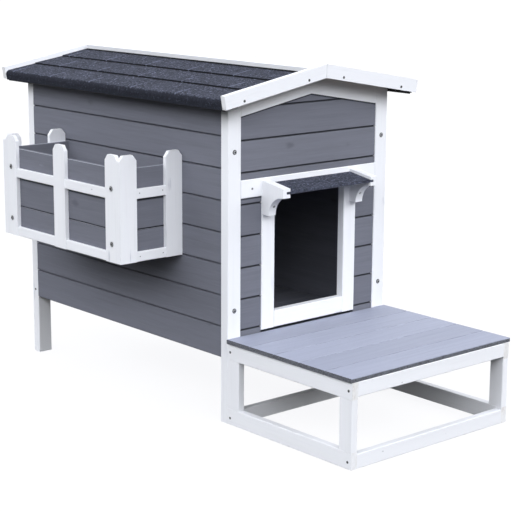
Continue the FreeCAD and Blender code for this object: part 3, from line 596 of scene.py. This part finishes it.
def roofing_felt(name, granules, courses=True):
    """Felt with crushed slate pressed into it: coarse grains of several tones on a dark ground."""
    tree = Finish(name)
    grains = tree.nodes.new("ShaderNodeTexVoronoi")
    grains.inputs["Scale"].default_value = 380.0
    tree.links.new(tree.place, grains.inputs["Vector"])
    tone = tree.axis(grains.outputs["Color"], 0)
    clump = tree.noise(tree.place, 150.0, 3.0, 0.7)
    patch = tree.noise(tree.place, 14.0, 3.0, 0.55)
    facing = tree.math("ABSOLUTE", tree.axis(tree.normal, 0))
    colour = tree.mix(tone, shade(granules, 0.35), shade(granules, 1.8))
    colour = tree.mix(tree.fade(tone, 0.90, 0.95), colour, shade(granules, 3.4 if courses else 2.4))
    colour = tree.mix(tree.fade(clump, 0.44, 0.60, high=0.75), colour, shade(granules, 0.5))
    colour = tree.mix(tree.fade(patch, 0.45, 0.8, high=0.3), colour, shade(granules, 1.5))
    if courses:
        colour = felt_courses(tree, colour, granules, clump, facing)
    # Faces that look sideways, such as the hem over the eave, are darkened: painted shade
    side = tree.fade(tree.math("ADD", facing, tree.fade(clump, 0.3, 0.7, -0.15, 0.15)), 0.45, 0.75, high=0.8)
    colour = tree.mix(side, colour, shade(granules, 0.35))
    relief = tree.math("ADD", tree.math("MULTIPLY", grains.outputs["Distance"], -1.0), clump)
    tree.bump(relief, strength=0.7, distance=0.002)
    return tree.finish(colour, tree.fade(tone, 0.0, 1.0, 0.8, 0.95), Specular_IOR_Level=0.08)


def bare_pine(name, pine, turn):
    """Unpainted planed pine with dark rings along the grain and brown knots."""
    tree = Finish(name)
    grain = tree.grain(TURNS[turn])
    drift = tree.vector("MULTIPLY", grain, (2.0, 8.0, 8.0))
    warp = tree.add("TexNoise", 1, {"Vector": drift, "Scale": 1.0})
    bent = tree.vector("ADD", tree.vector("MULTIPLY", grain, (1.2, 70.0, 70.0)),
                       tree.vector("MULTIPLY", warp, (2.5,) * 3))
    ring = tree.noise(bent, 1.0, 4.0, 0.55)
    fine = tree.figure(grain, stretch=(18.0, 700.0, 700.0), detail=2.0, roughness=0.6)
    colour = tree.mix(tree.fade(ring, 0.35, 0.7), pine, PINE_RING)
    colour = tree.mix(tree.fade(fine, 0.4, 0.8, high=0.35), colour, shade(pine, 1.18))
    knot = tree.knots(grain, spacing=(5.0, 16.0, 16.0), share=0.2, size=0.28)
    colour = tree.mix(tree.math("MULTIPLY", knot, 0.8), colour, PINE_KNOT)
    tree.bump(tree.math("ADD", ring, fine), strength=0.2, distance=0.0006)
    return tree.finish(colour, tree.fade(ring, 0.2, 0.8, 0.55, 0.75), Specular_IOR_Level=0.25)


def stained_wood(name):
    """Softwood coloured near-black, with the grain just showing."""
    tree = Finish(name)
    streak = tree.figure(tree.grain(TURNS["y"]), stretch=(6.0, 160.0, 160.0), detail=4.0, roughness=0.6)
    colour = tree.mix(tree.fade(streak, 0.3, 0.7), NEAR_BLACK_DARK, NEAR_BLACK_PALE)
    tree.bump(streak, strength=0.2, distance=0.0006)
    return tree.finish(colour, tree.fade(streak, 0.2, 0.8, 0.5, 0.7), Specular_IOR_Level=0.15)


def zinc(name, steel):
    """Zinc-plated steel, slightly blotched, in the tone of its own piece; the dark tones of washers, sockets
    and recesses are painted shade.
    """
    tree = Finish(name)
    steel = shade(steel, METAL_TONES[name])
    blotch = tree.noise(tree.place, 900.0, 3.0, 0.6)
    colour = tree.mix(tree.fade(blotch, 0.3, 0.7), shade(steel, 0.8), shade(steel, 1.2))
    tree.bump(blotch, strength=0.1, distance=0.0002)
    return tree.finish(colour, tree.fade(blotch, 0.2, 0.8, 0.28, 0.45), Metallic=1.0)


def dress(material, *names):
    """Gives CAD nodes their finish."""
    for name in names:
        node = NODES[name]
        if not node.material_slots:
            node.data.materials.append(material)
        for holder in node.material_slots:
            holder.material = material


class CATHOUSE_OT_white_timber(bpy.types.Operator):
    """Paints the posts, rails, pickets, bargeboards and brackets white"""
    bl_idname = "cathouse.white_timber"
    bl_label = "White timber"

    def execute(self, context):
        paint = tuple(context.scene.cat_house_finish.white_paint)
        groups = {
            "z": ["post_front_left", "post_front_right", "post_rear_left", "post_rear_right",
                  "door_jamb_left", "door_jamb_right", "planter_pickets", "porch_legs_left",
                  "porch_legs_right"],
            "x": ["lintel_rail", "door_sill", "porch_top_cross_rails", "porch_bottom_cross_rails"],
            "y": ["ridge_cap_left", "ridge_cap_right"],
            "left": ["bargeboard_front_left", "bargeboard_rear_left", "front_gable_rail_left",
                     "rear_gable_rail_left"],
            "right": ["bargeboard_front_right", "bargeboard_rear_right", "front_gable_rail_right",
                      "rear_gable_rail_right"],
        }
        for turn, names in groups.items():
            dress(white_timber("white_timber_" + turn, paint, turn), *names)
        dress(white_timber("white_porch_rails", paint, "y", ends=0.6), "porch_top_rail_left",
              "porch_top_rail_right", "porch_bottom_rail_left", "porch_bottom_rail_right")
        dress(white_timber("white_planter_rails", paint, "x", ends=0.0, split=PLANTER_SIDE_RAILS),
              "planter_rails")
        dress(white_timber("white_brackets", paint, "z", ends=0.0), "awning_bracket_left",
              "awning_bracket_right")
        return {"FINISHED"}


class CATHOUSE_OT_grey_boards(bpy.types.Operator):
    """Paints the wall, floor and planter boards grey"""
    bl_idname = "cathouse.grey_boards"
    bl_label = "Grey boards"

    def execute(self, context):
        paint = tuple(context.scene.cat_house_finish.grey_paint)
        dress(grey_boards("grey_side_boards", paint, "y", 2, WALL_BOARDS_START, BOARD_PITCH, SIDE_JOINT_SHADE),
              "left_wall_boards", "right_wall_boards")
        dress(grey_boards("grey_gable_boards", paint, "x", 2, FRONT_BOARDS_START, BOARD_PITCH, GABLE_JOINT_SHADE,
                          shaded_lap=GABLE_BOARDS_TOP, gable=True), "front_wall_boards_top", "rear_wall_boards")
        dress(grey_boards("grey_door_boards", paint, "x", 2, FRONT_BOARDS_START, BOARD_PITCH, DOOR_JOINT_SHADE,
                          shaded_lap=LINTEL_BOTTOM), "front_wall_boards_left", "front_wall_boards_right")
        for name, turn, joint_shade, side, axis in (
                ("planter_side_boards", "y", PLANTER_SIDE_JOINT_SHADE, 0, 0),
                ("planter_front_end_boards", "x", PLANTER_END_JOINT_SHADE, 0, 1),
                ("planter_rear_end_boards", "x", PLANTER_END_JOINT_SHADE, 1, 1)):
            dress(grey_boards("grey_" + name, paint, turn, 2, PLANTER_BOARDS_START, BOARD_PITCH, joint_shade,
                              arris=(axis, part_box(name)[side][axis]), shaded_lap=PLANTER_RAIL_SHADE_LINE), name)
        dress(grey_boards("grey_floor", paint, "x", 1, FLOOR_START, FLOOR_PITCH), "floor_boards")
        dress(grey_boards("grey_planter_floor", paint, "y", 0, PLANTER_FLOOR_START, PLANTER_FLOOR_PITCH),
              "planter_floor_board")
        return {"FINISHED"}


class CATHOUSE_OT_deck_boards(bpy.types.Operator):
    """Paints the porch deck"""
    bl_idname = "cathouse.deck_boards"
    bl_label = "Deck boards"

    def execute(self, context):
        paint = tuple(context.scene.cat_house_finish.deck_paint)
        dress(deck_paint("deck_paint", paint, DECK_START, DECK_PITCH), "deck_boards")
        return {"FINISHED"}


class CATHOUSE_OT_roof_felt(bpy.types.Operator):
    """Covers the roof and the awning with felt"""
    bl_idname = "cathouse.roof_felt"
    bl_label = "Roof felt"

    def execute(self, context):
        granules = tuple(context.scene.cat_house_finish.felt)
        dress(roofing_felt("roofing_felt", granules), "roof_felt_left", "roof_felt_right")
        # The same felt, written paler for the awning: painted light
        dress(roofing_felt("awning_felt", shade(granules, AWNING_LIGHT_TONE), courses=False), "awning_board")
        return {"FINISHED"}


class CATHOUSE_OT_bare_pine(bpy.types.Operator):
    """Leaves the battens, bearers and roof panels as bare pine and colours the eave battens near-black"""
    bl_idname = "cathouse.bare_pine"
    bl_label = "Bare pine"

    def execute(self, context):
        pine = tuple(context.scene.cat_house_finish.pine)
        dress(bare_pine("bare_pine_z", pine, "z"), "side_wall_battens")
        dress(bare_pine("bare_pine_y", pine, "y"), "floor_bearers", "roof_panel_left", "roof_panel_right",
              "ridge_batten_left", "ridge_batten_right")
        dress(stained_wood("stained_wood"), "eave_batten_left", "eave_batten_right")
        return {"FINISHED"}


# Fasteners
def deselect():
    if bpy.context.mode != "OBJECT":
        bpy.ops.object.mode_set(mode="OBJECT")
    bpy.ops.object.select_all(action="DESELECT")


def pick(choose):
    """Selects, in edit mode, the faces that choose accepts."""
    mesh = bmesh.from_edit_mesh(bpy.context.edit_object.data)
    mesh.normal_update()
    for face in mesh.faces:
        face.select_set(False)
    for face in mesh.faces:
        if choose(face):
            face.select_set(True)
    mesh.select_flush_mode()
    bmesh.update_edit_mesh(bpy.context.edit_object.data)


def pick_middle(way):
    """Selects the middle face that looks up (way 1) or down (way -1)."""
    pick(lambda face: face.normal.z * way > ALONG_AXIS and face.calc_center_median().xy.length < ON_AXIS)


def inset(thickness):
    bpy.ops.mesh.inset(thickness=thickness, depth=0.0)


def extrude(rise):
    bpy.ops.mesh.extrude_region_move(TRANSFORM_OT_translate={"value": (0.0, 0.0, rise)})


def step(thickness, rise):
    """Insets the selected middle face and moves it along the fastener's axis."""
    inset(thickness)
    bpy.ops.transform.translate(value=(0.0, 0.0, rise))


def start_head(vertices, radius, thickness, middle):
    """A round blank in edit mode with its top face selected; the fastener points along +Z."""
    deselect()
    bpy.ops.mesh.primitive_cylinder_add(vertices=vertices, radius=radius, depth=thickness,
                                        location=(0.0, 0.0, middle))
    model = bpy.context.object
    bpy.ops.object.mode_set(mode="EDIT")
    pick_middle(1)
    return model


def drive_shank(thickness, length):
    """Draws the shank out of the underside of the fastener."""
    pick_middle(-1)
    inset(thickness)
    extrude(-length)


def part_faces(model, choose):
    """Sorts the faces into material slots by their radius and height."""
    bpy.ops.object.mode_set(mode="OBJECT")
    bpy.ops.object.shade_smooth_by_angle(angle=SMOOTH_BELOW)
    for face in model.data.polygons:
        face.material_index = choose(face.center.xy.length, face.center.z)
    return model


def model_bolt(head):
    """A domed bolt on a washer darkened as painted shade, with a socket; it stands on the surface at z = 0.
    """
    bolt = start_head(BOLT_SIDES, head, WASHER_THICKNESS, WASHER_THICKNESS / 2)
    for share in WASHER_INSETS:
        step(head * share, 0.0)
    extrude(HEAD_SIDE)
    for share, rise in DOME_STEPS:
        step(head * share, rise)
    extrude(-SOCKET_DEPTH)
    drive_shank(head * SHANK_INSET, BOLT_SHANK)

    def choose(radius, height):
        # The socket's faces take the near-black metal: painted shade
        if radius < head * SOCKET_REACH and SOCKET_LOWEST < height < SOCKET_HIGHEST:
            return 2
        return 1 if height > HEAD_LOWEST else 0

    return part_faces(bolt, choose)


def model_screw(head):
    """A countersunk screw head with a recess, whose faces take a darker metal as painted shade."""
    screw = start_head(SCREW_SIDES, head, SCREW_THICKNESS, SCREW_MIDDLE)
    for share, rise in SCREW_STEPS:
        step(head * share, rise)
    inset(head * RECESS_INSET)
    extrude(-RECESS_DEPTH)
    drive_shank(head * SHANK_INSET, SCREW_SHANK)
    reach = head * RECESS_REACH
    return part_faces(screw, lambda radius, height: 1 if radius < reach and height < RECESS_HIGHEST else 0)


def model_brad(head):
    """A brad with a small crowned head."""
    brad = start_head(BRAD_SIDES, head, BRAD_THICKNESS, 0.0)
    for share, rise in BRAD_STEPS:
        step(head * share, rise)
    drive_shank(head * BRAD_SHANK_INSET, BRAD_SHANK)
    return part_faces(brad, lambda radius, height: 0)


def set_in(model, name, point, outward, body, materials, turn=0.0):
    """Copies a modelled fastener to its place, with its own mesh, and makes it ride."""
    copy = model.copy()
    copy.data = model.data.copy()
    copy.name = name
    copy.data.name = name
    bpy.context.scene.collection.objects.link(copy)
    up = Vector(outward).normalized().to_track_quat("Z", "Y").to_matrix().to_4x4()
    copy.data.transform(Matrix.Translation(point) @ up @ Matrix.Rotation(turn, 4, "Z"))
    for material in materials:
        copy.data.materials.append(material)
    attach(copy, body)
    return copy


class CATHOUSE_OT_bolts(bpy.types.Operator):
    """Puts domed bolts through the posts and the planter's pickets"""
    bl_idname = "cathouse.bolts"
    bl_label = "Bolts"

    def execute(self, context):
        steel = tuple(context.scene.cat_house_finish.steel)
        settings = context.scene.cat_house_fasteners
        metals = (zinc("zinc_washer_shade", steel), zinc("zinc_bolt", steel), zinc("zinc_socket_shade", steel))
        model = model_bolt(settings.bolt_head)
        count = 0
        for y, outward in ((0.0, FRONT), (HOUSE_DEPTH, REAR)):
            for x in (POST_WIDTH / 2, HOUSE_WIDTH - POST_WIDTH / 2):
                for z in POST_BOLT_HEIGHTS:
                    count += 1
                    bolt = set_in(model, "post_bolt_%d" % count, house(x, y, z), outward, "house", metals,
                                  count * BOLT_TURN)
                    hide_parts("bolts")
        bpy.data.objects.remove(model)
        model = model_bolt(settings.planter_bolt_head)
        # The planter bolts' washers take the sockets' near-black too: painted shade where a counterbored
        # hole would be
        planter_bolt_shades = (metals[2], zinc("zinc_planter_bolt", steel), metals[2])
        face = house_end("planter_pickets", 0, 0) + PLANTER_BOLT_SINK
        count = 0
        for y in PLANTER_BOLT_DEPTHS:
            for z in PLANTER_BOLT_HEIGHTS:
                count += 1
                set_in(model, "planter_bolt_%d" % count, house(face, y, z), LEFT, "house", planter_bolt_shades,
                       count * PLANTER_BOLT_TURN)
        bpy.data.objects.remove(model)
        dress(metals[1], "bolts")
        paint = tuple(context.scene.cat_house_finish.white_paint)
        dress(white_timber("white_hinges", paint, "y", ends=0.0), "hinge_leaves_fixed", "hinge_leaves_lid",
              "hinge_pins")
        return {"FINISHED"}


def screw_places():
    """Each screw's name, place, the way it faces and the body that it rides on."""
    places = [("lintel_screw", (x, 0.0, LINTEL_SCREW_HEIGHT), FRONT, "house")
              for x in (LINTEL_SCREW_ASIDE, HOUSE_WIDTH - LINTEL_SCREW_ASIDE)]
    places += [("bracket_screw", point, outward, "house") for point, outward in BRACKET_SCREWS]
    front = house_end("bargeboard_front_left", 0, 1)
    rear = house_end("bargeboard_rear_left", 1, 1)
    depth = BARGEBOARD_SCREW_DEPTH
    for side, body in ((-1.0, "house"), (1.0, "roof_lid")):
        for distance in BARGEBOARD_SCREW_DISTANCES:
            x = HOUSE_WIDTH / 2 + side * (distance * math.cos(SLOPE) - depth * math.sin(SLOPE))
            z = RIDGE.z * MILLIMETRES - distance * math.sin(SLOPE) - depth * math.cos(SLOPE)
            places.append(("bargeboard_screw", (x, front, z), FRONT, body))
            places.append(("bargeboard_screw", (x, rear, z), REAR, body))
    for x, outward in ((0.0, LEFT), (HOUSE_WIDTH, RIGHT)):
        for y in PORCH_SCREW_DEPTHS:
            for z in PORCH_SCREW_HEIGHTS:
                places.append(("porch_screw", (x, y, z), outward, "house"))
        point = (x, REAR_POST_SCREW_DEPTH, REAR_POST_SCREW_HEIGHT)
        places.append(("rear_post_screw", point, outward, "house"))
    return places


class CATHOUSE_OT_screws(bpy.types.Operator):
    """Puts screws in the bargeboards, lintel, brackets, porch and rear posts, and brads in the planter"""
    bl_idname = "cathouse.screws"
    bl_label = "Screws"

    def execute(self, context):
        settings = context.scene.cat_house_fasteners
        steel = tuple(context.scene.cat_house_finish.steel)
        metals = (zinc("zinc_screw", steel), zinc("zinc_recess_shade", steel))
        paler = (zinc("zinc_lintel_screw", steel), zinc("zinc_lintel_recess_shade", steel))
        model = model_screw(settings.screw_head)
        for number, (name, point, outward, body) in enumerate(screw_places()):
            set_in(model, "%s_%d" % (name, number + 1), house(*point), outward, body,
                   paler if name == "lintel_screw" else metals, number * SCREW_TURN)
        bpy.data.objects.remove(model)
        model = model_brad(settings.brad_head)
        count = 0
        for side, outward in ((0, FRONT), (1, REAR)):
            y = house_end("planter_rails", side, 1)
            for x in BRAD_ASIDES:
                for z in BRAD_HEIGHTS:
                    count += 1
                    set_in(model, "planter_brad_%d" % count, house(x, y, z), outward, "house", metals[:1])
        bpy.data.objects.remove(model)
        return {"FINISHED"}


# Stage
def lay_floor():
    """A floor that the camera sees as white, with the object's shadow on it."""
    deselect()
    bpy.ops.mesh.primitive_plane_add(size=FLOOR_SIZE, location=(0.0, 0.0, 0.0))
    floor = bpy.context.object
    floor.name = "studio_floor"
    tree = Finish("studio_floor")
    rays = tree.nodes.new("ShaderNodeLightPath").outputs
    seen = tree.math("ADD", tree.math("ADD", rays["Is Camera Ray"], rays["Is Glossy Ray"]),
                     rays["Is Transmission Ray"])
    seen = tree.math("MINIMUM", seen, 1.0)
    glow = tree.math("MULTIPLY", seen, FLOOR_GLOW_STRENGTH)
    tree.finish(tree.mix(seen, FLOOR_LIT, FLOOR_SEEN), FLOOR_ROUGHNESS, Specular_IOR_Level=0.0,
                Emission_Color=FLOOR_GLOW, Emission_Strength=glow)
    floor.data.materials.append(tree.material)


def light_world(scene, settings):
    """Soft light from all round, more from the front and left; the camera sees plain white instead."""
    world = bpy.data.worlds.new("soft_light")
    scene.world = world
    world.use_nodes = True
    world.node_tree.nodes.clear()
    sky = Tree(world.node_tree)
    direction = sky.nodes.new("ShaderNodeTexCoord").outputs["Generated"]
    height = sky.axis(direction, 2)
    low = sky.fade(height, LIGHT_FROM, LIGHT_FULL, 0.0, settings.light)
    high = sky.fade(height, OVERHEAD_FROM, OVERHEAD_FULL, 1.0, settings.overhead)
    front = sky.math("MULTIPLY_ADD", sky.dot(direction, FRONT_LEFT), settings.front_light, 1.0)
    strength = sky.math("MULTIPLY", sky.math("MULTIPLY", low, high), front)
    tint = sky.mix(sky.add("MapRange", 0, {0: height, 1: TINT_FROM, 2: TINT_FULL}), LOW_TINT, HIGH_TINT)
    soft = sky.add("Background", 0, {"Color": tint, "Strength": strength})
    plain = sky.add("Background", 0, {"Color": WHITE, "Strength": 1.0})
    rays = sky.nodes.new("ShaderNodeLightPath").outputs
    seen = sky.math("ADD", sky.math("ADD", rays["Is Camera Ray"], rays["Is Glossy Ray"]),
                    rays["Is Transmission Ray"])
    seen = sky.math("MINIMUM", seen, 1.0)
    both = sky.add("MixShader", 0, {0: seen, 1: soft, 2: plain})
    sky.put(sky.nodes.new("ShaderNodeOutputWorld").inputs["Surface"], both)


def place_camera(scene, settings):
    """The camera where the photo was taken from."""
    camera = bpy.data.cameras.new("photo_camera")
    camera.lens = settings.lens
    camera.sensor_width = SENSOR_WIDTH
    camera.sensor_fit = "HORIZONTAL"
    camera.clip_end = VIEW_END
    holder = bpy.data.objects.new("photo_camera", camera)
    scene.collection.objects.link(holder)
    azimuth, elevation, roll = settings.camera_turn
    back = Vector((math.sin(azimuth) * math.cos(elevation), -math.cos(azimuth) * math.cos(elevation),
                   math.sin(elevation)))
    right = Vector((math.cos(azimuth), math.sin(azimuth), 0.0))
    up = back.cross(right)
    turned = right * math.cos(roll) + up * math.sin(roll)
    upright = up * math.cos(roll) - right * math.sin(roll)
    place = Matrix((turned, upright, back)).transposed().to_4x4()
    place.translation = Vector(settings.camera_place)
    holder.matrix_world = place
    scene.camera = holder


class CATHOUSE_OT_stage(bpy.types.Operator):
    """Sets the floor, the soft light and the camera"""
    bl_idname = "cathouse.stage"
    bl_label = "Stage"

    def execute(self, context):
        settings = context.scene.cat_house_stage
        lay_floor()
        light_world(context.scene, settings)
        place_camera(context.scene, settings)
        context.scene.view_settings.view_transform = "Standard"
        return {"FINISHED"}


class CATHOUSE_PT_panel(bpy.types.Panel):
    """Lists the settings and the steps of the cat house"""
    bl_idname = "CATHOUSE_PT_panel"
    bl_label = "Cat house"
    bl_space_type = "VIEW_3D"
    bl_region_type = "UI"
    bl_category = "Cat house"

    def draw(self, context):
        for group in (context.scene.cat_house_finish, context.scene.cat_house_fasteners,
                      context.scene.cat_house_stage):
            box = self.layout.box()
            for name in group.__annotations__:
                box.prop(group, name)
        for step_class in STEPS:
            self.layout.operator(step_class.bl_idname)


STEPS = (
    CATHOUSE_OT_white_timber,
    CATHOUSE_OT_grey_boards,
    CATHOUSE_OT_deck_boards,
    CATHOUSE_OT_roof_felt,
    CATHOUSE_OT_bare_pine,
    CATHOUSE_OT_bolts,
    CATHOUSE_OT_screws,
    CATHOUSE_OT_stage,
)
CLASSES = (CatHouseFinish, CatHouseFasteners, CatHouseStage) + STEPS + (CATHOUSE_PT_panel,)


def register():
    for item in CLASSES:
        bpy.utils.register_class(item)
    bpy.types.Scene.cat_house_finish = PointerProperty(type=CatHouseFinish)
    bpy.types.Scene.cat_house_fasteners = PointerProperty(type=CatHouseFasteners)
    bpy.types.Scene.cat_house_stage = PointerProperty(type=CatHouseStage)


def unregister():
    del bpy.types.Scene.cat_house_stage
    del bpy.types.Scene.cat_house_fasteners
    del bpy.types.Scene.cat_house_finish
    for item in reversed(CLASSES):
        bpy.utils.unregister_class(item)


def main():
    register()
    bpy.ops.cathouse.white_timber()
    bpy.ops.cathouse.grey_boards()
    bpy.ops.cathouse.deck_boards()
    bpy.ops.cathouse.roof_felt()
    bpy.ops.cathouse.bare_pine()
    bpy.ops.cathouse.bolts()
    bpy.ops.cathouse.screws()
    bpy.ops.cathouse.stage()


if __name__ == "__main__":
    main()
